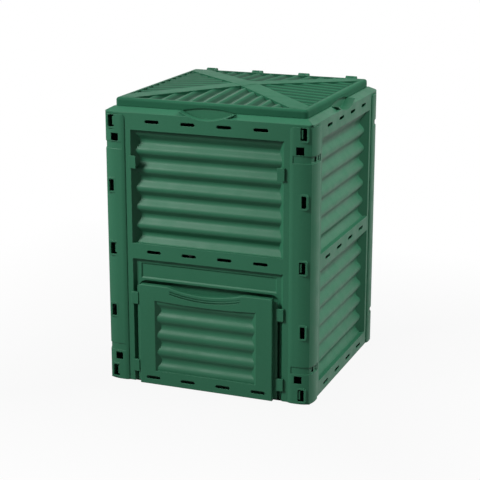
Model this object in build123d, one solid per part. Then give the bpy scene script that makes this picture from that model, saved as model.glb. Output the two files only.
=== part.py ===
"""Square garden compost bin that comes flat: four corner posts, four wave-moulded walls, a hinged ribbed
lid and an exit door that slides up. The front faces -Y, +Z is up, and the bin stands on Z = 0."""
import os
from math import cos, floor, radians, sqrt, tan

from build123d import *

# Walls: the rail faces make a square, and every wall is one thin moulded sheet
RAIL_HALF = 300.0
LEDGE_Z = 782.0
WALL_T = 3.0
SHOULDER_RISE = 12.0
SHOULDER_RUN = 21.0
BOTTOM_RAIL = 41.0
MID_RAIL_Z = 383.0
MID_RAIL = 44.0
TOP_RAIL = 47.0
TOP_CORNER_R = 14.0
MITRE_GAP = 0.2

# Inner rim that stands up inside the lid's skirt, on every wall but the hinged one
RIM_UP = 13.0
RIM_CLEAR = 1.0
RIM_SWING_CLEAR = 1.5

# Wave fields: stile beside them, and depths measured inwards from the rail face
STILE = 79.0
FIELD_SLANT = 38.0
CREST_DEPTH = 12.0
WAVE_DEPTH = 12.0
WAVE_PITCH = 52.5
WAVE_FLANK = 36.0
CREST_BELOW = 4.0

# Vent slots in the rails
VENT_LENGTH = 42.0
VENT_TALL = 9.0
VENT_CORNER = 3.2
VENT_PITCH = 104.5
VENT_COUNT = 4
LOW_VENT_Z = 18.0
TOP_VENT_DROP = 22.0

# Finger pocket in the shoulder, under the middle of each lid edge
POCKET_HALF = 75.0
POCKET_DROP = 20.0

# Corner posts, with widths measured back from the rail faces' corner
POST_PROUD = 4.7
POST_SEAT = 0.2
POST_FLANGE = 62.0
POST_ROUND = 38.0
CREASE_DROP = 8.2
POST_WEB_RUN = 21.0
POST_WEB = 5.5
POST_TOP_DROP = 6.0
POST_TOP_GAP = 0.5
POST_EDGE_RUN = 14.0
POST_EDGE_DROP = 3.2
POST_TOP_R = 12.0
SLOT_COUNT = 5
SLOT_UP = 25.0
SLOT_DOWN = 18.5
SLOT_BACK = 14.5
SLOT_WIDE = 18.0
SLOT_NARROW = 13.5
SLOT_TALL = 33.5
SLOT_CORNER = 2.0
PAD_MARGIN = 5.0
PAD_CORNER = 4.0
SQUARE_BACK = 33.0
SQUARE_SIDE = 21.5
SQUARE_UP = 69.0
SQUARE_DOWN = 63.0
BAND_UP = 96.0
BAND_DOWN = 86.0
BAND_TALL = 20.0
BAND_CUT = 2.0
BAND_BACK = 53.0
CHANNEL_TALL = 14.0
CHANNEL_CUT = 3.6
CHANNEL_BACK = 42.0

# Tongues down the upright edges of the walls: hooked into slots at the front and back, grooved at the sides
WALL_EDGE_BACK = 46.0
TONGUE_TALL = 24.0
HOOK_CLEAR = 0.6
HOOK_WIDE = 5.5
HOOK_SINK = 3.0
GROOVE_GAP = 0.4
GROOVE_LIP = 2.5
GROOVE_BACK = 42.0

# Recessed frame below the mid rail, with a sunk plate, a deep bay behind the door and the exit opening
BORDER_DEPTH = 10.0
PLATE_SINK = 3.0
PLATE_SLANT = 50.0
PLATE_MARGIN = 13.0
PLATE_LIP = 6.0
BAY_HEAD = 63.0
BAY_SIDE = 12.0
BAY_DEPTH = 24.0
BAY_R = 25.0
EXIT_SIDE = 36.0
EXIT_SILL = 14.0
EXIT_HEAD = 63.0
EXIT_R = 25.0

# Exit door
DOOR_PROUD = 16.0
DOOR_T = 2.6
DOOR_BACK_GAP = 0.5
DOOR_LAP = 12.0
DOOR_LOW = 2.0
DOOR_HEAD = 5.0
DOOR_CORNER_R = 5.0
DOOR_EDGE_R = 2.2
DOOR_STILE = 47.0
DOOR_BOTTOM_RAIL = 41.0
DOOR_TOP_RAIL = 43.0
DOOR_SLANT = 50.0
DOOR_FIELD_CLEAR = 0.5
DOOR_FIELD_SAG = 5.0
DOOR_WAVE_DEPTH = 8.2
DOOR_WAVE_PITCH = 49.3
DOOR_WAVE_FLANK = 31.0
DOOR_FIRST_CREST = 5.0
DOOR_VENT_UP = 20.0
FLANGE_WIDE = 10.5
FLANGE_T = 2.5
FLANGE_INSET = 4.0
DIP_SIDE = 87.0
DIP_DROP = 15.5
DIP_KINK_R = 30.0
GRIP_TALL = 9.0
GRIP_END = 6.0
SLIT_COUNT = 2
SLIT_TALL = 3.0
SLIT_RIB = 3.2

# Door guides: snap-in blocks on the front wall's stiles
GUIDE_LOW_UP = 46.0
GUIDE_MID_DOWN = 45.0
GUIDE_TOP_DOWN = 88.0
GUIDE_TALL = 35.0
GUIDE_ON_STILE = 4.2
GUIDE_SIDE_GAP = 0.8
GUIDE_LIP_GAP = 0.4
GUIDE_LIP_T = 2.6
GUIDE_LIP_REACH = 3.5
GUIDE_R = 1.0
STEM_WIDE = 2.4
STEM_TALL = 16.0
STEM_CLEAR = 0.2
STEM_EDGE = 1.2
BARB_STEP = 1.0
BARB_LONG = 2.5

# Lid
LID_STEP = 3.0
LID_T = 3.0
LID_GAP = 0.3
LID_TALL = 22.7
LID_CORNER_R = 10.0
LID_EDGE_R = 8.0
LID_INNER_CUT = 5.0
BORDER = 12.0
DOWNSTAND_BELOW = 2.5
CROWN = 13.0
CROSS_WIDE = 56.0
RIB_PITCH = 40.0
RIB_DROP = 1.0
RIB_DEPTH = 6.5
RIB_FLANK = 20.5
ARCH_RISE = 8.5

# Lid hinge
HINGE_COUNT = 4
HINGE_END = 54.0
HINGE_UP = 18.0
HINGE_SETBACK = 12.0
HINGE_R = 8.5
PIN_R = 4.0
PIN_FIT = 0.02
PIN_RUN = 0.05
KNUCKLE = 15.0
EAR = 8.0
EAR_GAP = 0.5
EAR_ROOT = 1.0
PIN_END = 1.0
LUG_TALL = 11.0

# Worked-out heights and places
FAR = 2 * (LEDGE_Z + RAIL_HALF)
FACE_Y = -RAIL_HALF
FACE_TOP = LEDGE_Z - SHOULDER_RISE
TOP_RAIL_LOW = FACE_TOP - TOP_RAIL
MID_RAIL_LOW = MID_RAIL_Z - MID_RAIL / 2
MID_RAIL_HIGH = MID_RAIL_Z + MID_RAIL / 2
FIELD_HALF = RAIL_HALF - STILE
VALLEY_DEPTH = CREST_DEPTH + WAVE_DEPTH
LID_HALF = RAIL_HALF - SHOULDER_RUN - LID_STEP
LID_IN = LID_HALF - LID_T
LID_LOW = LEDGE_Z + LID_GAP
LID_TOP = LID_LOW + LID_TALL
RIM_FACE = LID_IN - RIM_CLEAR
RIM_IN = RIM_FACE - WALL_T
RIB_TALL = RIB_DROP + RIB_DEPTH + LID_T
HINGE_Y = LID_HALF + HINGE_SETBACK
HINGE_Z = LEDGE_Z + HINGE_UP
HINGE_SPAN = 2 * (LID_HALF - HINGE_END)
HINGE_XS = [HINGE_SPAN * (k / (HINGE_COUNT - 1) - 0.5) for k in range(HINGE_COUNT)]
POST_FACE = RAIL_HALF + POST_PROUD
POST_INNER = RAIL_HALF - POST_FLANGE
POST_FLAT_END = RAIL_HALF - POST_ROUND
POST_CREASE = POST_FACE - CREASE_DROP
POST_TOP = FACE_TOP - POST_TOP_DROP
SLOT_OUTER = RAIL_HALF - SLOT_BACK
SLOT_RUN = POST_TOP - SLOT_UP - SLOT_DOWN
SLOT_ZS = [SLOT_UP + SLOT_RUN * k / (SLOT_COUNT - 1) for k in range(SLOT_COUNT)]
SQUARE_ZS = [SQUARE_UP, POST_TOP - SQUARE_DOWN]
BAND_ZS = [BAND_UP, POST_TOP - BAND_DOWN]
WALL_EDGE = RAIL_HALF - WALL_EDGE_BACK
HOOK_IN = SLOT_OUTER - SLOT_WIDE + HOOK_CLEAR
HOOK_OUT = HOOK_IN + HOOK_WIDE
BAY_HALF = FIELD_HALF - BAY_SIDE
BAY_HIGH = MID_RAIL_LOW - BAY_HEAD
EXIT_HALF = FIELD_HALF - EXIT_SIDE
EXIT_HIGH = BAY_HIGH - EXIT_HEAD
DOOR_HALF = EXIT_HALF + DOOR_LAP
DOOR_HIGH = BAY_HIGH - DOOR_HEAD
DOOR_Y = FACE_Y - DOOR_PROUD
DOOR_BACK = FACE_Y - DOOR_BACK_GAP
DOOR_FIELD_HALF = DOOR_HALF - DOOR_STILE
DOOR_FIELD_LOW = DOOR_LOW + DOOR_BOTTOM_RAIL
DOOR_FIELD_HIGH = DOOR_HIGH - DOOR_TOP_RAIL
DOOR_VALLEY = DOOR_PROUD - DOOR_BACK_GAP - DOOR_FIELD_CLEAR - DOOR_T
DOOR_CREST = DOOR_VALLEY - DOOR_WAVE_DEPTH
FLANGE_FRONT = DOOR_BACK - FLANGE_T
FLANGE_END = DOOR_HALF + FLANGE_WIDE
DIP_HALF = DOOR_HALF - DIP_SIDE
GRIP_HALF = DIP_HALF - GRIP_END
GUIDE_OUTER = FIELD_HALF + GUIDE_ON_STILE
STEM_AT = FIELD_HALF + STEM_EDGE + STEM_CLEAR + STEM_WIDE / 2
GUIDE_HEIGHTS = {"low": DOOR_LOW + GUIDE_LOW_UP, "mid": DOOR_HIGH - GUIDE_MID_DOWN,
                 "top": TOP_RAIL_LOW - GUIDE_TOP_DOWN}
CENTRE_SHIFT = (DOOR_PROUD - POST_PROUD) / 2


def box(x, y, z):
    """Box from three (low, high) pairs."""
    size = [high - low for low, high in (x, y, z)]
    middle = [(high + low) / 2 for low, high in (x, y, z)]
    return Pos(*middle) * Box(*size)


def side_prism(points, x_low, x_high):
    """Solid with a (y, z) outline, between two values of x."""
    face = make_face(Polyline(*points, close=True))
    return Pos(x_low, 0, 0) * extrude(Plane.YZ * face, x_high - x_low)


def front_plane(y, z=0.0):
    """Plane that faces the front, with x across and z up, at depth y."""
    return Plane(origin=(0, y, z), x_dir=(1, 0, 0), z_dir=(0, -1, 0))


def rod_x(radius, x_middle, length, y, z):
    """Rod that lies along x."""
    return Pos(x_middle, y, z) * (Rot(0, 90, 0) * Cylinder(radius, length))


def wave_line(low, high, first_crest, pitch, flank, crest, valley):
    """Rounded zigzag of (depth, along) points from below low to above high, with a crest at first_crest."""
    half_pitch = pitch / 2
    slope = radians(flank)
    sharp = half_pitch * tan(slope)
    radius = (sharp - (valley - crest)) / (2 * (1 / cos(slope) - 1))
    first = floor((low - first_crest) / half_pitch) - 1
    last = floor((high - first_crest) / half_pitch) + 2
    middle = (crest + valley) / 2
    points = []
    for k in range(first, last + 1):
        side = 1 if k % 2 else -1
        points.append((middle + side * sharp / 2, first_crest + k * half_pitch))
    return FilletPolyline(*points, radius=radius)


def region_beside(line, shift, limit):
    """Face between the wave line, moved by shift in depth, and the straight line at depth limit."""
    moved = Pos(shift, 0) * line
    start, end = moved @ 0, moved @ 1
    rest = Polyline((end.X, end.Y), (limit, end.Y), (limit, start.Y), (start.X, start.Y))
    return make_face(moved.edges() + rest.edges())


def in_front_of_waves(line, shift, face_y, half_width):
    """Everything in front of a wave surface, as a solid that runs across the wall."""
    face = region_beside(line, shift, -CREST_DEPTH)
    return Pos(0, face_y, 0) * extrude(Plane.YZ * face, half_width, both=True)


def recess(face_y, half_width, low, high, depth, slant):
    """Pocket into the wall with a level floor and ceiling and slanted sides, widest at the face."""
    run = depth * tan(radians(slant))
    outline = Polyline((-half_width, face_y), (half_width, face_y), (half_width - run, face_y + depth),
                       (run - half_width, face_y + depth), close=True)
    return Pos(0, 0, low) * extrude(make_face(outline), high - low)


def dished(face_y, half_width, low, high, depth, slant):
    """Shallow pocket into the wall with all four sides slanted."""
    plane = Plane(origin=(0, face_y, (low + high) / 2), x_dir=(1, 0, 0), z_dir=(0, 1, 0))
    return extrude(plane * Rectangle(2 * half_width, high - low), depth, taper=slant)


def add_wave_field(body, face_y, half_width, low, high, line, thickness, deepest, slant, head=None):
    """Put a slant-sided pan with waves into a moulded sheet, kept below the head where there is one."""
    grow = thickness / cos(radians(slant))
    reach = deepest + thickness + grow
    pan = recess(face_y, half_width + grow, low - thickness, high + thickness, reach, slant)
    hollow = recess(face_y, half_width, low, high, reach, slant)
    span = 2 * half_width
    pan = pan & in_front_of_waves(line, thickness, face_y, span)
    hollow = hollow & in_front_of_waves(line, 0, face_y, span)
    if head:
        hollow -= head
        pan -= Pos(0, 0, thickness) * head
    return body + pan - hollow


def plate(wide, tall, corner):
    """Rectangle with its corners cut off."""
    return chamfer(Rectangle(wide, tall).vertices(), corner)


def arched(half_width, low, high, corner):
    """Outline in x and z with two rounded top corners."""
    face = Pos(0, (low + high) / 2) * Rectangle(2 * half_width, high - low)
    return fillet(face.vertices().sort_by(Axis.Y)[-2:], corner)


def vents(face_y, z, depth):
    """One row of slots through a rail."""
    row = [Pos(VENT_PITCH * (k - (VENT_COUNT - 1) / 2), 0) * plate(VENT_LENGTH, VENT_TALL, VENT_CORNER)
           for k in range(VENT_COUNT)]
    return extrude(front_plane(face_y, z) * Sketch(children=row), depth, both=True)


def wall_sheet(has_rim):
    """The wall's plain section, from the ground over the shoulder to the ledge and its rim."""
    slope = SHOULDER_RISE / SHOULDER_RUN
    ledge_y = FACE_Y + SHOULDER_RUN
    under = LEDGE_Z - WALL_T
    inner_turn = ledge_y + WALL_T * (sqrt(1 + slope * slope) - 1) / slope
    inner_face = FACE_Y + WALL_T
    inner_top = under - (inner_turn - inner_face) * slope
    points = [(FACE_Y, 0), (FACE_Y, FACE_TOP), (ledge_y, LEDGE_Z)]
    if has_rim:
        points += [(-RIM_FACE, LEDGE_Z), (-RIM_FACE, LEDGE_Z + RIM_UP), (-RIM_IN, LEDGE_Z + RIM_UP)]
    else:
        points += [(-RIM_IN, LEDGE_Z)]
    points += [(-RIM_IN, under), (inner_turn, under), (inner_face, inner_top), (inner_face, 0)]
    return side_prism(points, -RAIL_HALF, RAIL_HALF)


def finger_lens(radius_grow, y_low, y_high):
    """Lens under the ledge, cut off level with it, that the finger pocket follows."""
    radius = (POCKET_HALF ** 2 + POCKET_DROP ** 2) / (2 * POCKET_DROP)
    centre_z = LEDGE_Z - POCKET_DROP + radius
    disc = front_plane(y_high, centre_z) * Circle(radius + radius_grow)
    reach = box((-RAIL_HALF, RAIL_HALF), (y_low, y_high), (0, LEDGE_Z))
    return extrude(disc, y_high - y_low) & reach


def wall_outline():
    """Room for one wall: narrow between the posts, and mitred to the corners above them."""
    seam = POST_TOP + POST_TOP_GAP
    mitre = Polyline((0, -MITRE_GAP), (-FAR, -FAR - MITRE_GAP), (FAR, -FAR - MITRE_GAP), close=True)
    quarter = extrude(make_face(mitre), FAR)
    rounded = RectangleRounded(2 * RAIL_HALF, 2 * RAIL_HALF, TOP_CORNER_R)
    shoulder = Pos(0, 0, seam) * extrude(rounded, LEDGE_Z - seam)
    rim_corner = LID_CORNER_R - LID_T - RIM_CLEAR
    rim = Pos(0, 0, LEDGE_Z) * extrude(RectangleRounded(2 * RIM_FACE, 2 * RIM_FACE, rim_corner), RIM_UP)
    between = box((-WALL_EDGE, WALL_EDGE), (FACE_Y, 0), (0, seam))
    return ((shoulder + rim) & quarter) + between


def tongues(hooked):
    """Tongues that reach behind the posts, one at every other slot, with hooks that stand in those slots."""
    hook_front = -POST_FACE + HOOK_SINK
    made = []
    for z in SLOT_ZS[::2]:
        tall = (z - TONGUE_TALL / 2, z + TONGUE_TALL / 2)
        for side in (-1, 1):
            arm_x = sorted((side * (WALL_EDGE - WALL_T), side * HOOK_OUT))
            hook_x = sorted((side * HOOK_IN, side * HOOK_OUT))
            made.append(box(arm_x, (FACE_Y, FACE_Y + WALL_T), tall))
            if hooked:
                made.append(box(hook_x, (hook_front, FACE_Y), tall))
    return made


def plain_wall(has_rim, lower_waves):
    """A wall that faces the front, with its upper wave field, and its lower one where it has no door."""
    body = wall_sheet(has_rim)
    fields = [(MID_RAIL_HIGH, TOP_RAIL_LOW)]
    if lower_waves:
        fields.append((BOTTOM_RAIL, MID_RAIL_LOW))
    for low, high in fields:
        line = wave_line(low, high, low - CREST_BELOW, WAVE_PITCH, WAVE_FLANK, CREST_DEPTH, VALLEY_DEPTH)
        body = add_wave_field(body, FACE_Y, FIELD_HALF, low, high, line, WALL_T, VALLEY_DEPTH, FIELD_SLANT)
    body += finger_lens(WALL_T, FACE_Y + WALL_T / 2, -RIM_IN)
    body -= finger_lens(0, FACE_Y - WALL_T, -RIM_FACE)
    body -= vents(FACE_Y, FACE_TOP - TOP_VENT_DROP, 2 * WALL_T)
    body -= vents(FACE_Y, MID_RAIL_Z, 2 * WALL_T)
    if lower_waves:
        body -= vents(FACE_Y, LOW_VENT_Z, 2 * WALL_T)
    return body


def finish_wall(body, hooked):
    """Trim a wall to its room between the posts and add its tongues."""
    body = body & wall_outline()
    for piece in tongues(hooked):
        body += piece
    return body


def front_wall():
    """Front wall: a recessed frame below the mid rail, with a bay and the exit opening behind the door."""
    body = plain_wall(True, False)
    grow = WALL_T / cos(radians(FIELD_SLANT))
    below = -MID_RAIL_Z
    pan_depth = BORDER_DEPTH + PLATE_SINK + WALL_T
    body += recess(FACE_Y, FIELD_HALF + grow, below, MID_RAIL_LOW + WALL_T, pan_depth, FIELD_SLANT)
    bay_back = FACE_Y + BAY_DEPTH
    bay_outside = arched(BAY_HALF + WALL_T, below, BAY_HIGH + WALL_T, BAY_R + WALL_T)
    body += extrude(front_plane(bay_back + WALL_T) * bay_outside, BAY_DEPTH + WALL_T - BORDER_DEPTH)
    body -= recess(FACE_Y, FIELD_HALF, below, MID_RAIL_LOW, BORDER_DEPTH, FIELD_SLANT)
    plate_half = FIELD_HALF - BORDER_DEPTH * tan(radians(FIELD_SLANT)) - PLATE_MARGIN
    plate_top = MID_RAIL_LOW - PLATE_MARGIN
    border_y = FACE_Y + BORDER_DEPTH
    body -= dished(border_y, plate_half, BAY_HIGH + PLATE_LIP, plate_top, PLATE_SINK, PLATE_SLANT)
    bay = arched(BAY_HALF, below, BAY_HIGH, BAY_R)
    body -= extrude(front_plane(bay_back) * bay, BAY_DEPTH)
    exit_tall = EXIT_HIGH - EXIT_SILL
    opening = Pos(0, EXIT_SILL + exit_tall / 2) * RectangleRounded(2 * EXIT_HALF, exit_tall, EXIT_R)
    body -= extrude(front_plane(bay_back) * opening, 2 * WALL_T, both=True)
    for z in GUIDE_HEIGHTS.values():
        for side in (-1, 1):
            half = STEM_WIDE / 2 + STEM_CLEAR
            tall = STEM_TALL / 2 + STEM_CLEAR
            at = side * STEM_AT
            body -= box((at - half, at + half), (FACE_Y - WALL_T, FACE_Y + 2 * WALL_T), (z - tall, z + tall))
    return finish_wall(body, True)


def back_wall():
    """Back wall, made facing the front: it has no rim, so that the lid's skirt can swing over the ledge."""
    body = finish_wall(plain_wall(False, True), True)
    slope = SHOULDER_RISE / SHOULDER_RUN
    outer, inner = -HINGE_Y - HINGE_R, -HINGE_Y + HINGE_R
    root = [FACE_TOP + (y - FACE_Y) * slope - EAR_ROOT for y in (outer, inner)]
    web = [(outer, HINGE_Z), (outer, root[0]), (inner, root[1]), (inner, HINGE_Z)]
    for x in HINGE_XS:
        for side in (-1, 1):
            middle = x + side * (KNUCKLE / 2 + EAR_GAP + EAR / 2)
            body += side_prism(web, middle - EAR / 2, middle + EAR / 2)
            body += rod_x(HINGE_R, middle, EAR, -HINGE_Y, HINGE_Z)
        body -= rod_x(PIN_R + PIN_FIT, x, KNUCKLE + 4 * EAR, -HINGE_Y, HINGE_Z)
    return Rot(0, 0, 180) * body


def corner_region(inset):
    """Plan of the front right corner, filled in, with its outer faces moved inwards by inset."""
    face = POST_FACE - inset
    run = POST_CREASE - POST_FLAT_END
    drop = POST_FACE - POST_CREASE
    radius = (run * run + drop * drop) / (2 * drop)
    centre_y = radius - POST_FACE
    r = radius - inset
    total = POST_FLAT_END - centre_y
    gap = POST_FLAT_END + centre_y
    crease = (total + sqrt(2 * r * r - gap * gap)) / 2
    half_x = (POST_FLAT_END + crease) / 2
    half_y = centre_y - sqrt(r * r - (half_x - POST_FLAT_END) ** 2)
    turn, lip = POST_INNER + POST_EDGE_RUN, face - POST_EDGE_DROP
    inside = Polyline((lip, -POST_INNER), (POST_INNER, -POST_INNER), (POST_INNER, -lip))
    front_edge = TangentArc((turn, -face), (POST_INNER, -lip), tangent=(-1, 0))
    front_flat = Line((turn, -face), (POST_FLAT_END, -face))
    front = ThreePointArc((POST_FLAT_END, -face), (half_x, half_y), (crease, -crease))
    side = ThreePointArc((crease, -crease), (-half_y, -half_x), (face, -POST_FLAT_END))
    side_flat = Line((face, -POST_FLAT_END), (face, -turn))
    side_edge = TangentArc((face, -turn), (lip, -POST_INNER), tangent=(0, 1))
    lines = [inside, front_edge, front_flat, front, side, side_flat, side_edge]
    return make_face([edge for line in lines for edge in line.edges()])


def on_both_faces(shape):
    """A feature of the post's front face and its twin on the side face."""
    return [shape, mirror(shape, about=Plane(origin=(0, 0, 0), z_dir=(1, 1, 0)))]


def corner_post():
    """Front right post: two flanges that meet in a crease, with slots at the front, a groove at the side."""
    seat = RAIL_HALF + POST_SEAT
    solid = extrude(corner_region(0), POST_TOP)
    web_start = RAIL_HALF - POST_WEB_RUN
    web_corner = POST_CREASE - POST_WEB
    inside = Polyline((0, -seat), (web_start, -seat), (web_corner, -web_corner),
                      (seat, -web_start), (seat, 0), (0, 0), close=True)
    post = solid - extrude(make_face(inside), POST_TOP)
    lip_out = RAIL_HALF - WALL_T - GROOVE_GAP
    post += box((lip_out - GROOVE_LIP, lip_out), (-web_corner, GROOVE_BACK - RAIL_HALF), (0, POST_TOP))
    for number, z in enumerate(SLOT_ZS):
        wide = SLOT_NARROW if number % 2 else SLOT_WIDE
        middle = SLOT_OUTER - wide / 2
        tall = min(SLOT_TALL / 2 + PAD_MARGIN, z)
        pad_face = Pos(middle, 0) * plate(wide + 2 * PAD_MARGIN, 2 * tall, PAD_CORNER)
        post += extrude(front_plane(-seat, z) * pad_face, POST_FACE - seat)
    post = post & box((0, FAR), (-FAR, 0), (0, POST_TOP))
    for number, z in enumerate(SLOT_ZS):
        wide = SLOT_NARROW if number % 2 else SLOT_WIDE
        slot = Pos(SLOT_OUTER - wide / 2, 0) * plate(wide, SLOT_TALL, SLOT_CORNER)
        post -= extrude(front_plane(-POST_FACE, z) * slot, 4 * POST_PROUD, both=True)
    for z in SQUARE_ZS:
        square = Pos(RAIL_HALF - SQUARE_BACK, 0) * Rectangle(SQUARE_SIDE, SQUARE_SIDE)
        post -= extrude(front_plane(-POST_FACE, z) * square, 2 * POST_PROUD, both=True)
    outer = RAIL_HALF + 2 * POST_PROUD
    for z in BAND_ZS:
        reach = (RAIL_HALF - BAND_BACK, outer)
        ring = box(reach, (-reach[1], -reach[0]), (z - BAND_TALL / 2, z + BAND_TALL / 2))
        post -= ring - extrude(corner_region(BAND_CUT), POST_TOP)
        near = RAIL_HALF - CHANNEL_BACK
        side_half = make_face(Polyline((near, -near), (outer, -near), (outer, -outer), close=True))
        channel = Pos(0, 0, z - CHANNEL_TALL / 2) * extrude(side_half, CHANNEL_TALL)
        post -= channel - extrude(corner_region(CHANNEL_CUT), POST_TOP)
    turn_x, turn_z = POST_INNER + POST_TOP_R, POST_TOP - POST_TOP_R
    corner = box((POST_INNER, turn_x), (-outer, -seat), (turn_z, POST_TOP))
    corner -= extrude(front_plane(-seat) * (Pos(turn_x, turn_z) * Circle(POST_TOP_R)), outer)
    for piece in on_both_faces(corner):
        post -= piece
    return post


def door_outline(inset):
    """The door's front outline in x and z: square below, with a dipped top edge between two shoulders."""
    half, low, high = DOOR_HALF - inset, DOOR_LOW + inset, DOOR_HIGH - inset
    sides = Polyline((DIP_HALF, high), (half, high), (half, low), (-half, low), (-half, high),
                     (-DIP_HALF, high))
    dip = ThreePointArc((-DIP_HALF, high), (0, high - DIP_DROP), (DIP_HALF, high))
    face = make_face(sides.edges() + dip.edges())
    corners = [v for v in face.vertices() if abs(abs(v.X) - half) < 1 and abs(v.Y - high) < 1]
    face = fillet(corners, DOOR_CORNER_R - inset)
    kinks = [v for v in face.vertices() if abs(abs(v.X) - DIP_HALF) < 1 and abs(v.Y - high) < 1]
    return fillet(kinks, DIP_KINK_R)


def grip_slits():
    """Slits that follow the dipped edge and leave a curved grip above them."""
    dip_r = (DIP_HALF ** 2 + DIP_DROP ** 2) / (2 * DIP_DROP)
    plane = front_plane(DOOR_Y, DOOR_HIGH - DIP_DROP + dip_r)
    reach = box((-GRIP_HALF, GRIP_HALF), (DOOR_Y - DOOR_PROUD, DOOR_BACK), (DOOR_LOW, DOOR_HIGH))
    made = []
    for number in range(SLIT_COUNT):
        start = dip_r + GRIP_TALL + number * (SLIT_TALL + SLIT_RIB)
        ring = Circle(start + SLIT_TALL) - Circle(start)
        made.append(extrude(plane * ring, 2 * DOOR_T, both=True) & reach)
    return made


def exit_door():
    """Exit door: an open-backed shell with a wave field, vents, a grip and a flange down each side."""
    deep = DOOR_BACK - DOOR_Y
    shell = extrude(front_plane(DOOR_BACK) * door_outline(0), deep)
    shell = fillet(shell.faces().sort_by(Axis.Y)[0].edges(), DOOR_EDGE_R)
    shell -= extrude(front_plane(DOOR_BACK) * door_outline(DOOR_T), deep - DOOR_T)
    line = wave_line(DOOR_FIELD_LOW, DOOR_FIELD_HIGH, DOOR_FIELD_LOW + DOOR_FIRST_CREST, DOOR_WAVE_PITCH,
                     DOOR_WAVE_FLANK, DOOR_CREST, DOOR_VALLEY)
    sag_r = (DOOR_FIELD_HALF ** 2 + DOOR_FIELD_SAG ** 2) / (2 * DOOR_FIELD_SAG)
    sag_plane = front_plane(DOOR_BACK, DOOR_FIELD_HIGH - DOOR_FIELD_SAG + sag_r)
    head = extrude(sag_plane * Circle(sag_r), 2 * deep, both=True)
    shell = add_wave_field(shell, DOOR_Y, DOOR_FIELD_HALF, DOOR_FIELD_LOW, DOOR_FIELD_HIGH, line, DOOR_T,
                           DOOR_VALLEY, DOOR_SLANT, head)
    shell -= vents(DOOR_Y, DOOR_LOW + DOOR_VENT_UP, 2 * DOOR_T)
    for slit in grip_slits():
        shell -= slit
    rail_z = (DOOR_LOW + FLANGE_INSET, DOOR_HIGH - DOOR_CORNER_R - FLANGE_INSET)
    for side in (-1, 1):
        rail_x = sorted((side * (DOOR_HALF - DOOR_T / 2), side * FLANGE_END))
        shell += box(rail_x, (FLANGE_FRONT, DOOR_BACK), rail_z)
    return shell


def door_guide(z, side):
    """Snap-in guide: a block on the stile whose lip reaches over the door's flange, with a barbed stem."""
    web_in = FLANGE_END + GUIDE_SIDE_GAP
    lip_back = FLANGE_FRONT - GUIDE_LIP_GAP
    front = lip_back - GUIDE_LIP_T
    tall = (z - GUIDE_TALL / 2, z + GUIDE_TALL / 2)
    block = box((web_in, GUIDE_OUTER), (front, FACE_Y), tall)
    block += box((FLANGE_END - GUIDE_LIP_REACH, GUIDE_OUTER), (front, lip_back), tall)
    block = fillet(block.faces().sort_by(Axis.Y)[0].edges(), GUIDE_R)
    stem_end = FACE_Y + WALL_T + STEM_CLEAR + BARB_LONG
    stem_z = (z - STEM_TALL / 2, z + STEM_TALL / 2)
    stem = box((STEM_AT - STEM_WIDE / 2, STEM_AT + STEM_WIDE / 2), (FACE_Y, stem_end), stem_z)
    barb_x = (STEM_AT, STEM_AT + STEM_WIDE / 2 + STEM_CLEAR + BARB_STEP)
    barb = box(barb_x, (stem_end - BARB_LONG, stem_end), stem_z)
    guide = block + stem + barb
    return guide if side > 0 else mirror(guide, about=Plane.YZ)


def rib_sheet():
    """Front quarter of the lid's ribbed top: ribs run from the front border up towards the middle."""
    inner = LID_HALF - BORDER
    crest = RIB_DROP
    line = wave_line(-inner, inner, RIB_PITCH / 2, RIB_PITCH, RIB_FLANK, crest, crest + RIB_DEPTH)
    upper = Rot(0, 0, -90) * line
    lower = Pos(0, -LID_T) * upper
    ends = [Line(upper @ 0, lower @ 0), Line(upper @ 1, lower @ 1)]
    face = make_face(upper.edges() + lower.edges() + [end.edge() for end in ends])
    plane = Plane(origin=(0, -inner, LID_TOP), x_dir=(1, 0, 0), z_dir=(0, -inner, -CROWN))
    sheet = extrude(plane * face, -sqrt(inner ** 2 + CROWN ** 2))
    edge = inner - LID_T / 2
    under_band = CROSS_WIDE / 2 - LID_T / 2
    tip = under_band * sqrt(2)
    quarter = make_face(Polyline((tip - edge, -edge), (edge - tip, -edge), (0, -tip), close=True))
    return sheet & extrude(quarter, FAR)


def cross_bands(width, top_drop, tall, edge):
    """The two raised bands that cross on the lid, as four sloping planks from the middle to the corners."""
    inner = LID_HALF - BORDER
    reach = inner * sqrt(2)
    high, low = LID_TOP + CROWN - top_drop, LID_TOP - top_drop
    side = make_face(Polyline((0, high), (reach, low), (reach, low - tall), (0, high - tall), close=True))
    plank = extrude(Plane.XZ * side, width / 2, both=True)
    planks = Rot(0, 0, 45) * plank
    for quarter in (1, 2, 3):
        planks += Rot(0, 0, 45 + 90 * quarter) * plank
    return planks & extrude(Rectangle(2 * edge, 2 * edge), FAR)


def lid_rim():
    """Skirt and flat border round the lid, with a downstand that carries the ribbed top."""
    inner = LID_HALF - BORDER
    well = inner - LID_T
    tall = LID_TOP - LID_LOW
    rim = Pos(0, 0, LID_LOW) * extrude(RectangleRounded(2 * LID_HALF, 2 * LID_HALF, LID_CORNER_R), tall)
    rim = fillet(rim.faces().sort_by(Axis.Z)[-1].edges(), LID_EDGE_R)
    under = extrude(RectangleRounded(2 * LID_IN, 2 * LID_IN, LID_CORNER_R - LID_T), tall - LID_T)
    rim -= Pos(0, 0, LID_LOW) * chamfer(under.faces().sort_by(Axis.Z)[-1].edges(), LID_INNER_CUT)
    ring = Rectangle(2 * inner, 2 * inner) - Rectangle(2 * well, 2 * well)
    downstand = RIB_TALL + DOWNSTAND_BELOW
    rim += Pos(0, 0, LID_TOP - downstand) * extrude(ring, downstand)
    return rim - Pos(0, 0, LID_LOW) * extrude(Rectangle(2 * well, 2 * well), FAR)


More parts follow.
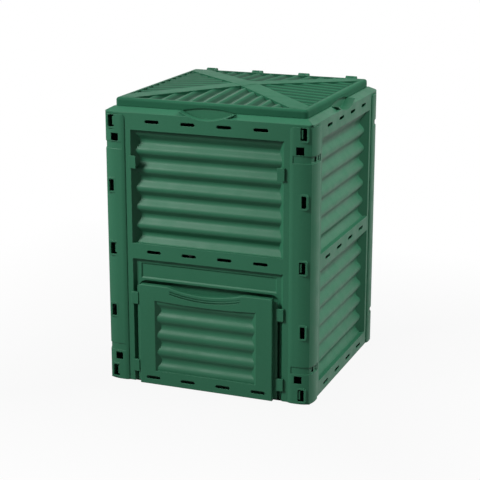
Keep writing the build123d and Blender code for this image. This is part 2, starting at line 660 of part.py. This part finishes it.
def lid():
    """Lid: rim, four ribbed quarters, crossing bands that are hollow below, edge arches and hinge lugs."""
    well = LID_HALF - BORDER - LID_T
    body = lid_rim()
    quarter = rib_sheet()
    for turn in range(4):
        body += Rot(0, 0, 90 * turn) * quarter
    body += cross_bands(CROSS_WIDE, 0, RIB_TALL, well + LID_T / 2)
    body -= cross_bands(CROSS_WIDE - 2 * LID_T, LID_T, 2 * RIB_TALL, well)
    arch_r = (POCKET_HALF ** 2 + ARCH_RISE ** 2) / (2 * ARCH_RISE)
    arch = rod_x(arch_r, 0, 3 * LID_HALF, 0, LID_LOW + ARCH_RISE - arch_r)
    arch &= box((-FAR, FAR), (-POCKET_HALF, POCKET_HALF), (0, LEDGE_Z + RIM_UP))
    for turn in (0, 90):
        body -= Rot(0, 0, turn) * arch
    lug_z = (LID_TOP - LUG_TALL, LID_TOP)
    for x in HINGE_XS:
        body += box((x - KNUCKLE / 2, x + KNUCKLE / 2), (LID_IN, HINGE_Y), lug_z)
        body += rod_x(HINGE_R, x, KNUCKLE, HINGE_Y, HINGE_Z)
        body -= rod_x(PIN_R + PIN_RUN, x, 2 * KNUCKLE, HINGE_Y, HINGE_Z)
    return body


def hinge_pin(x):
    """Pin through one lug of the lid and the two ears beside it."""
    length = KNUCKLE + 2 * (EAR_GAP + EAR + PIN_END)
    return rod_x(PIN_R, x, length, HINGE_Y, HINGE_Z)


def build():
    """Every piece by name, in place round the bin's own centre line."""
    pieces = {"front_wall": front_wall(), "back_wall": back_wall()}
    side = finish_wall(plain_wall(True, True), False)
    skirt_swing = sqrt((HINGE_Y - LID_IN) ** 2 + (HINGE_Z - LID_LOW) ** 2)
    rim_end = HINGE_Y - skirt_swing - RIM_SWING_CLEAR
    swing_room = box((-FAR, FAR), (rim_end, FAR), (LEDGE_Z, FAR))
    pieces["right_wall"] = Rot(0, 0, 90) * side - swing_room
    pieces["left_wall"] = Rot(0, 0, -90) * side - swing_room
    post = corner_post()
    pieces["post_front_right"] = post
    pieces["post_front_left"] = mirror(post, about=Plane.YZ)
    pieces["post_back_right"] = mirror(post, about=Plane.XZ)
    pieces["post_back_left"] = Rot(0, 0, 180) * post
    pieces["lid"] = lid()
    for number, x in enumerate(HINGE_XS, 1):
        pieces[f"lid_hinge_pin_{number}"] = hinge_pin(x)
    pieces["exit_door"] = exit_door()
    for level, z in GUIDE_HEIGHTS.items():
        pieces["door_guide_left_" + level] = door_guide(z, -1)
        pieces["door_guide_right_" + level] = door_guide(z, 1)
    return pieces


os.makedirs("parts", exist_ok=True)
for name, shape in build().items():
    export_step(Pos(0, CENTRE_SHIFT, 0) * shape, f"parts/{name}.step")
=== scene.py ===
# %% [markdown]
# # A garden compost bin, dressed for its portrait
# The bin comes flat in a box: four wave-moulded walls hook into four corner posts, a ribbed lid
# swings on four pins at the back, and an exit door slides up at the front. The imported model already
# holds every piece at its real size, so this lesson adds what a solid lacks: the finish of the
# plastic, a studio and a camera. Loading comes first, because later cells read their places from it.

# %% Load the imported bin
import math

import bpy
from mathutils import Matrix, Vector


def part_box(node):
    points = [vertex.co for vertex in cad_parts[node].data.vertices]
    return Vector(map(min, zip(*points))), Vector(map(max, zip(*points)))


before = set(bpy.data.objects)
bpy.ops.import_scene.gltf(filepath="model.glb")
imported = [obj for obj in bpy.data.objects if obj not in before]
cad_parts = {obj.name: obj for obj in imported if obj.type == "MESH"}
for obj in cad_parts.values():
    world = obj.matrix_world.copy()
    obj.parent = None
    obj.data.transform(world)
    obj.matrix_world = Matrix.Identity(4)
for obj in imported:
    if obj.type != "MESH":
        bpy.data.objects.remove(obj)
bpy.ops.object.select_all(action="DESELECT")
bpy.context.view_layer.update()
print("pieces loaded:", len(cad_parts))

# %% [markdown]
# ## Small tools for nodes
# A finish is a tree of shader nodes. Each node could be added and wired line by line, but the same
# few moves come back in every finish of the bin: feed a socket, open a group, do a sum, read a
# noise. One helper for each keeps the later cells short enough to read.


# %% Helpers that wire nodes
def feed(tree, value, socket):
    """Link another socket to this one, or set it to a plain number or colour."""
    if isinstance(value, bpy.types.NodeSocket):
        tree.links.new(value, socket)
    else:
        socket.default_value = value


def new_group(name, inputs, outputs):
    """A shader node group with float sockets, and its input and output nodes."""
    group = bpy.data.node_groups.new(name, "ShaderNodeTree")
    for label, value in inputs.items():
        socket = group.interface.new_socket(label, in_out="INPUT", socket_type="NodeSocketFloat")
        socket.default_value = value
    for label in outputs:
        group.interface.new_socket(label, in_out="OUTPUT", socket_type="NodeSocketFloat")
    return group, group.nodes.new("NodeGroupInput"), group.nodes.new("NodeGroupOutput")


print("wiring helpers ready")


# %% Helpers that compute
def math_node(tree, operation, first, second=0.0):
    """The result of a Math node fed by sockets or plain numbers."""
    node = tree.nodes.new("ShaderNodeMath")
    node.operation = operation
    feed(tree, first, node.inputs[0])
    feed(tree, second, node.inputs[1])
    return node.outputs[0]


def noise_node(tree, place, scale, detail):
    """The value of a Noise Texture at a place."""
    node = tree.nodes.new("ShaderNodeTexNoise")
    feed(tree, place, node.inputs["Vector"])
    feed(tree, scale, node.inputs["Scale"])
    feed(tree, detail, node.inputs["Detail"])
    return node.outputs[0]


print("computing helpers ready")

# %% [markdown]
# ## The skin of moulded plastic
# Polypropylene takes the surface of its mould. The steel is spark-eroded, so the skin is a field of
# tiny pits about a millimetre across that break up reflections. A picture texture could carry that,
# but it would smear on walls that fold and wave. Noise on Object coordinates has the same grain on
# every face. The grain is a node group, because the walls, posts, lid and pins all wear it.

# %% Grain group
PITS_PER_METRE = 900.0
SWELLS_PER_METRE = 28.0
SWELL_HEIGHT = 1.5
GRAIN_DETAIL = 2.0

grain, grain_in, grain_out = new_group(
    "spark_grain", {"Pits per metre": PITS_PER_METRE}, ["Height", "Gloss"])
grain_place = grain.nodes.new("ShaderNodeTexCoord").outputs["Object"]
pits = noise_node(grain, grain_place, grain_in.outputs["Pits per metre"], GRAIN_DETAIL)
swell = noise_node(grain, grain_place, SWELLS_PER_METRE, GRAIN_DETAIL)
relief = math_node(grain, "ADD", pits, math_node(grain, "MULTIPLY", swell, SWELL_HEIGHT))
grain.links.new(relief, grain_out.inputs["Height"])
grain.links.new(swell, grain_out.inputs["Gloss"])
print("group made:", grain.name, [s.name for s in grain.interface.items_tree])

# %% [markdown]
# ## How the colour drifts
# The green is mixed into the melt, and the melt cools unevenly on its way through the mould. Up
# close the walls carry soft clouds, drawn out upwards, that are a shade lighter or darker. A single
# noise would look like mist, so large clouds and small specks are added up. The drift stays faint,
# as it does on a new bin, and it is a group, because every finish has it.

# %% Drift group
CLOUDS_PER_METRE = 5.0
CLOUD_STRETCH = 0.45
CLOUD_DETAIL = 4.0
CLOUD_SHARE = 0.75
SPECKS_PER_METRE = 160.0
SPECK_DETAIL = 2.0
SPECK_SHARE = 0.25

drift, drift_in, drift_out = new_group(
    "melt_drift", {"Clouds per metre": CLOUDS_PER_METRE, "Stretch": CLOUD_STRETCH}, ["Shade"])
drift_place = drift.nodes.new("ShaderNodeTexCoord").outputs["Object"]
pull = drift.nodes.new("ShaderNodeCombineXYZ")
for axis, stretch in (("X", 1.0), ("Y", 1.0), ("Z", drift_in.outputs["Stretch"])):
    feed(drift, stretch, pull.inputs[axis])
pulled = drift.nodes.new("ShaderNodeMapping")
drift.links.new(drift_place, pulled.inputs["Vector"])
drift.links.new(pull.outputs[0], pulled.inputs["Scale"])
clouds = noise_node(drift, pulled.outputs[0], drift_in.outputs["Clouds per metre"], CLOUD_DETAIL)
specks = noise_node(drift, drift_place, SPECKS_PER_METRE, SPECK_DETAIL)
cloud_part = math_node(drift, "MULTIPLY", clouds, CLOUD_SHARE)
speck_part = math_node(drift, "MULTIPLY", specks, SPECK_SHARE)
drift.links.new(math_node(drift, "ADD", cloud_part, speck_part), drift_out.inputs["Shade"])
print("group made:", drift.name, [s.name for s in drift.interface.items_tree])

# %% [markdown]
# ## Painted shade in the hollows of the lid
# The hollows between the lid's ribs should look a shade deeper than the crests. Lamps alone left
# them too pale, so the shade is painted into the finish as a darker green. It could be painted by
# hand, but the ribs are evenly spaced: in each quarter of the lid, a cosine of the distance across
# the ribs is highest in the hollows. The crossing bands, the border and the underside are left out.
# The lid reaches equally far from its middle to the left, right and front, so its box gives the
# middle, although the hinge lugs stick out behind.

# %% Where the ribs are
RIB_PITCH = 0.040
RIB_FIELD_HALF = 0.264
BAND_HALF_WIDTH = 0.028

lid_low, lid_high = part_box("lid")
lid_middle_y = lid_low[1] + (lid_high[0] - lid_low[0]) / 2
print("lid middle at y =", round(lid_middle_y, 4))


# %% Painted shade group for the hollows
# Painted shade: the lid's rib hollows get a darker green that stands in for the shade falling there.
CREST_WAVE = -1.0
HOLLOW_WAVE = 0.3
HOLLOW_SHADE_DEPTH = 0.75


def span_node(tree, value, old, new, kind="LINEAR"):
    """A value carried over from the old span of numbers to the new one."""
    node = tree.nodes.new("ShaderNodeMapRange")
    node.interpolation_type = kind
    feed(tree, value, node.inputs["Value"])
    for name, number in zip(("From Min", "From Max", "To Min", "To Max"), (*old, *new)):
        feed(tree, number, node.inputs[name])
    return node.outputs["Result"]


# The group's output is painted shade, highest in the rib hollows and nothing on the crests.
rib_shade, rib_shade_in, rib_shade_out = new_group("rib_painted_shade", {"Depth": HOLLOW_SHADE_DEPTH}, ["Hollow"])
lid_coordinates = rib_shade.nodes.new("ShaderNodeTexCoord")
lid_place = rib_shade.nodes.new("ShaderNodeSeparateXYZ")
lid_facing = rib_shade.nodes.new("ShaderNodeSeparateXYZ")
rib_shade.links.new(lid_coordinates.outputs["Object"], lid_place.inputs[0])
rib_shade.links.new(lid_coordinates.outputs["Normal"], lid_facing.inputs[0])
from_middle = math_node(rib_shade, "SUBTRACT", lid_place.outputs["Y"], lid_middle_y)
off_x = math_node(rib_shade, "ABSOLUTE", lid_place.outputs["X"])
off_y = math_node(rib_shade, "ABSOLUTE", from_middle)
across = math_node(rib_shade, "MINIMUM", off_x, off_y)
along = math_node(rib_shade, "MAXIMUM", off_x, off_y)
turn = math_node(rib_shade, "MULTIPLY", across, 2 * math.pi / RIB_PITCH)
wave = math_node(rib_shade, "COSINE", turn)
valley = span_node(rib_shade, wave, (CREST_WAVE, HOLLOW_WAVE), (0.0, 1.0), "SMOOTHSTEP")
print("waves across the ribs every", RIB_PITCH, "m")

# %% Keep the painted shade to the ribs
in_field = math_node(rib_shade, "LESS_THAN", along, RIB_FIELD_HALF)
from_band = math_node(rib_shade, "SUBTRACT", along, across)
off_band = math_node(rib_shade, "GREATER_THAN", from_band, BAND_HALF_WIDTH * math.sqrt(2))
on_top = math_node(rib_shade, "GREATER_THAN", lid_facing.outputs["Z"], 0.0)
ribbed = math_node(rib_shade, "MULTIPLY", in_field, math_node(rib_shade, "MULTIPLY", off_band, on_top))
deep = math_node(rib_shade, "MULTIPLY", valley, rib_shade_in.outputs["Depth"])
rib_shade.links.new(math_node(rib_shade, "MULTIPLY", ribbed, deep), rib_shade_out.inputs["Hollow"])
print("group made:", rib_shade.name, [s.name for s in rib_shade.interface.items_tree])

# %% [markdown]
# ## The plastics
# Every piece is dark green. The lid has a coarser and duller skin than the walls, and it looks a
# shade darker, while the hinge pins are a tone deeper and smoother, as pins turned from bar are.
# Three materials could be wired one by one, but they differ only in their numbers and in the lid's
# painted shade, so one function builds them all: the drift mixes two greens, the grain drives the
# bump and a little of the roughness, a Bevel node softens the edges, and the plain numbers sit on the
# shader.

# %% Numbers that all plastics share
DARK_CLOUD = 0.32
LIGHT_CLOUD = 0.68
SWELL_SPAN = (0.3, 0.7)
ROUGHNESS_DRIFT = 0.05
PIT_DEPTH = 0.0004
EDGE_SAMPLES = 6
print("the grain moves the roughness by", ROUGHNESS_DRIFT, "either way")


# %% Colour and skin
def place_group(tree, group):
    """One use of a node group in a material."""
    node = tree.nodes.new("ShaderNodeGroup")
    node.node_tree = group
    return node


def drifting_colour(tree, light, dark):
    """A colour that drifts between two greens."""
    ramp = tree.nodes.new("ShaderNodeValToRGB")
    stops = ramp.color_ramp.elements
    for stop, position, colour in zip(stops, (DARK_CLOUD, LIGHT_CLOUD), (dark, light)):
        stop.position = position
        stop.color = (*colour, 1.0)
    tree.links.new(place_group(tree, drift).outputs["Shade"], ramp.inputs["Fac"])
    return ramp.outputs["Color"]


def moulded_skin(tree, shader, roughness, pits_per_metre, bump, edge):
    """The grain in the bump and the roughness of a shader, over softened edges."""
    skin = place_group(tree, grain)
    skin.inputs["Pits per metre"].default_value = pits_per_metre
    rough_span = (roughness - ROUGHNESS_DRIFT, roughness + ROUGHNESS_DRIFT)
    rough = span_node(tree, skin.outputs["Gloss"], SWELL_SPAN, rough_span)
    tree.links.new(rough, shader.inputs["Roughness"])
    soft = tree.nodes.new("ShaderNodeBevel")
    soft.samples = EDGE_SAMPLES
    soft.inputs["Radius"].default_value = edge
    dent = tree.nodes.new("ShaderNodeBump")
    dent.inputs["Strength"].default_value = bump
    dent.inputs["Distance"].default_value = PIT_DEPTH
    tree.links.new(skin.outputs["Height"], dent.inputs["Height"])
    tree.links.new(soft.outputs["Normal"], dent.inputs["Normal"])
    tree.links.new(dent.outputs["Normal"], shader.inputs["Normal"])


print("colour and skin ready")


# %% Plastic materials
def mix_colours(tree, share, first, second):
    """The first colour where the share is 0 and the second where it is 1."""
    node = tree.nodes.new("ShaderNodeMix")
    node.data_type = "RGBA"
    feed(tree, share, node.inputs["Factor"])
    feed(tree, first, node.inputs["A"])
    feed(tree, second, node.inputs["B"])
    return node.outputs["Result"]


def plastic(name, light, dark, roughness, specular, pits_per_metre, bump, edge, hollow_shade=None):
    """A moulded plastic of two greens, with a darker third green painted into the lid's hollows as
    shade, if one is given.
    """
    material = bpy.data.materials.new(name)
    material.use_nodes = True
    tree = material.node_tree
    shader = tree.nodes["Principled BSDF"]
    colour = drifting_colour(tree, light, dark)
    if hollow_shade:
        # Painted shade: a darker green is mixed into the lid's rib hollows.
        share = place_group(tree, rib_shade).outputs["Hollow"]
        colour = mix_colours(tree, share, colour, (*hollow_shade, 1.0))
    tree.links.new(colour, shader.inputs["Base Color"])
    moulded_skin(tree, shader, roughness, pits_per_metre, bump, edge)
    shader.inputs["Specular IOR Level"].default_value = specular
    return material


wall_green = plastic(
    "moulded_green", light=(0.026, 0.146, 0.077), dark=(0.021, 0.124, 0.064), roughness=0.50,
    specular=0.26, pits_per_metre=PITS_PER_METRE, bump=0.12, edge=0.0018)
# The lid's third green is painted shade for its rib hollows.
lid_green = plastic(
    "lid_green", light=(0.0205, 0.120, 0.063), dark=(0.016, 0.100, 0.052), roughness=0.70,
    specular=0.10, pits_per_metre=700.0, bump=0.16, edge=0.0018, hollow_shade=(0.006, 0.036, 0.019))
pin_green = plastic(
    "pin_green", light=(0.0080, 0.105, 0.052), dark=(0.0065, 0.092, 0.046), roughness=0.36,
    specular=0.26, pits_per_metre=1500.0, bump=0.08, edge=0.0005)
print("plastics:", wall_green.name, lid_green.name, pin_green.name)

# %% [markdown]
# ## Dressing the pieces
# Walls, posts, door and guides come from the same melt, and only the lid and the hinge pins differ.
# Each piece could get its own copy of a finish, but a shared one is easier to tune, and the noise
# still differs from piece to piece, because every piece lies elsewhere in the same coordinates.

# %% Dress the pieces
for node_name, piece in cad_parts.items():
    finish = wall_green
    if node_name == "lid":
        finish = lid_green
    elif "pin" in node_name:
        finish = pin_green
    piece.data.materials.clear()
    piece.data.materials.append(finish)
print("dressed:", len(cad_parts), "pieces")

# %% [markdown]
# ## A white sweep
# The bin stands alone on white. A curved paper sweep could be modelled, but its far edge would show
# from the other sides, so a very large plane is the ground, a hair below the walls' lower edges. Its
# material shows plain white to the camera and to reflections, while a small diffuse share keeps the
# soft shadow where the bin stands. Inside the open bottom the ground is painted near black as shade
# for the dark inside of the bin, which keeps the slots dark.

# %% Ground plane
GROUND_SIDE = 60.0
GROUND_DROP = 0.0005

bpy.ops.mesh.primitive_plane_add(size=GROUND_SIDE, location=(0.0, 0.0, -GROUND_DROP))
ground = bpy.context.active_object
ground.name = "ground"
white = bpy.data.materials.new("white_ground")
white.use_nodes = True
white.node_tree.nodes.clear()
ground.data.materials.append(white)
print("ground laid:", GROUND_SIDE, "m wide")

# %% Painted shade inside the walls
# Painted shade: the ground inside the walls is near black, standing in for the dark inside of the
# bin.
SHADE_PATCH_HALF = 0.2985
SHADE_PATCH_FRONT = -0.290
SHADE_PATCH_BACK = 0.304
PAINTED_SHADE_COLOUR = (0.012, 0.009, 0.007, 1.0)
GROUND_GREY = (0.10, 0.10, 0.10, 1.0)

tree = white.node_tree
spot = tree.nodes.new("ShaderNodeSeparateXYZ")
tree.links.new(tree.nodes.new("ShaderNodeTexCoord").outputs["Object"], spot.inputs[0])
aside = math_node(tree, "SUBTRACT", math_node(tree, "ABSOLUTE", spot.outputs["X"]), SHADE_PATCH_HALF)
ahead = math_node(tree, "SUBTRACT", SHADE_PATCH_FRONT, spot.outputs["Y"])
behind = math_node(tree, "SUBTRACT", spot.outputs["Y"], SHADE_PATCH_BACK)
reach = math_node(tree, "MAXIMUM", aside, math_node(tree, "MAXIMUM", ahead, behind))
# 1 outside the patch of painted shade, 0 inside it.
outside_shade_patch = math_node(tree, "GREATER_THAN", reach, 0.0)
matte = tree.nodes.new("ShaderNodeBsdfDiffuse")
tree.links.new(mix_colours(tree, outside_shade_patch, PAINTED_SHADE_COLOUR, GROUND_GREY), matte.inputs["Color"])
print("painted_shade_patch from", SHADE_PATCH_FRONT, "to", SHADE_PATCH_BACK, "m")

# %% [markdown]
# ## White for the eye, plain for the light
# A ground that glowed for every ray would light the bin from below and wash out its waves. The Light
# Path node tells the rays apart: what is seen directly, in a reflection or through something is
# white, and what carries light on to the bin is not. The same split serves the ground and the world.
# Near the bin a little less of the ground glows, so that the shadow shows.


# %% Glow of the ground
GLOW_NEAR = 0.93
GLOW_FAR = 1.0
GLOW_REACH = 1.0


def seen_rays(tree):
    """1 for rays of the camera, reflections and transmission, 0 for the rays that carry light."""
    path = tree.nodes.new("ShaderNodeLightPath")
    near = math_node(tree, "MAXIMUM", path.outputs["Is Camera Ray"], path.outputs["Is Glossy Ray"])
    return math_node(tree, "MAXIMUM", near, path.outputs["Is Transmission Ray"])


def split_rays(tree, carried, seen, share, output):
    """Mix two shaders by a share into the output node of a material or world."""
    blend = tree.nodes.new("ShaderNodeMixShader")
    for socket, source in zip(blend.inputs, (share, carried.outputs[0], seen.outputs[0])):
        tree.links.new(source, socket)
    tree.links.new(blend.outputs[0], tree.nodes.new(output).inputs[0])


glow = tree.nodes.new("ShaderNodeEmission")
glow_share = span_node(tree, reach, (0.0, GLOW_REACH), (GLOW_NEAR, GLOW_FAR))
# The patch of painted shade does not glow, so it stays dark to the camera and in reflections.
glow_rays = math_node(tree, "MULTIPLY", seen_rays(tree), outside_shade_patch)
shown = math_node(tree, "MULTIPLY", glow_rays, glow_share)
split_rays(tree, matte, glow, shown, "ShaderNodeOutputMaterial")
print("ground glows by", GLOW_NEAR, "to", GLOW_FAR)

# %% World
FILL_STRENGTH = 0.06
BACKDROP_STRENGTH = 1.0
WHITE = (1.0, 1.0, 1.0, 1.0)

world = bpy.data.worlds.new("studio")
bpy.context.scene.world = world
world.use_nodes = True
tree = world.node_tree
tree.nodes.clear()
fill, backdrop = (tree.nodes.new("ShaderNodeBackground") for _ in range(2))
for background, strength in ((fill, FILL_STRENGTH), (backdrop, BACKDROP_STRENGTH)):
    background.inputs["Color"].default_value = WHITE
    background.inputs["Strength"].default_value = strength
split_rays(tree, fill, backdrop, seen_rays(tree), "ShaderNodeOutputWorld")
print("world fills with", FILL_STRENGTH)

# %% [markdown]
# ## Five soft boxes
# In the picture each wave is bright on its upper slope and dark below its crest, on both walls, so
# the light comes from high up on either side. One big lamp overhead would light the lid most, so two
# soft boxes do it, one at the front left and one at the right, each with a grid that narrows its
# beam to its wall. A third stands at the back left, for the walls that the picture hides. There
# neither the lid nor the sloped shoulder mirrors it to the camera. Two small ones have narrow beams
# that pass above the closed bin and light the lid when it stands open.


# %% Lamps
def soft_box(name, place, aim, size, power, spread):
    """A square area lamp with a grid that narrows its beam to the spread, in degrees."""
    data = bpy.data.lights.new(name, "AREA")
    data.size = size
    data.energy = power
    data.spread = math.radians(spread)
    lamp = bpy.data.objects.new(name, data)
    bpy.context.scene.collection.objects.link(lamp)
    lamp.visible_camera = False
    lamp.location = place
    lamp.rotation_euler = (Vector(aim) - Vector(place)).to_track_quat("-Z", "Y").to_euler()


FRONT_AIM = (-0.10, -0.30, 0.50)
RIGHT_AIM = (0.30, 0.0, 0.53)
BACK_AIM = (-0.12, 0.18, 0.33)
OPEN_LID_AIM = (0.0, 0.38, 1.16)

soft_box("soft_box_front_left", (-2.28, -2.45, 2.71), FRONT_AIM, size=1.2, power=8.8, spread=36.0)
soft_box("soft_box_right", (1.91, 0.27, 2.83), RIGHT_AIM, size=1.0, power=3.7, spread=26.0)
soft_box("soft_box_back", (-2.05, 2.35, 1.90), BACK_AIM, size=0.8, power=2.0, spread=28.0)
soft_box("soft_box_low_back", (-0.9, 2.9, 0.45), OPEN_LID_AIM, size=0.6, power=1.1, spread=22.0)
soft_box("soft_box_high_front", (0.9, -2.9, 1.75), OPEN_LID_AIM, size=0.5, power=0.55, spread=15.0)

# %% [markdown]
# ## The camera
# The viewpoint could be found by eye, but the rails' vent slots and the corners give it: with their
# real places known, one place of the camera brings them closest to where the picture shows them. A
# long lens keeps the uprights nearly parallel.

# %% Camera
PICTURE_SIDE = 480.0
FOCAL_PIXELS = 1400.0
SENSOR_WIDTH = 36.0
CAMERA_PLACE = (1.4119, -3.6610, 1.4545)
CAMERA_LOOKS_DOWN = 15.600
CAMERA_TURNS_LEFT = 21.317

camera_data = bpy.data.cameras.new("camera")
camera_data.sensor_width = SENSOR_WIDTH
camera_data.lens = FOCAL_PIXELS * SENSOR_WIDTH / PICTURE_SIDE
camera = bpy.data.objects.new("camera", camera_data)
bpy.context.scene.collection.objects.link(camera)
camera.location = CAMERA_PLACE
tilt = math.radians(90.0 - CAMERA_LOOKS_DOWN)
camera.rotation_euler = (tilt, 0.0, math.radians(CAMERA_TURNS_LEFT))
bpy.context.scene.camera = camera
bpy.context.scene.view_settings.view_transform = "Standard"
print("lens in mm:", camera_data.lens)
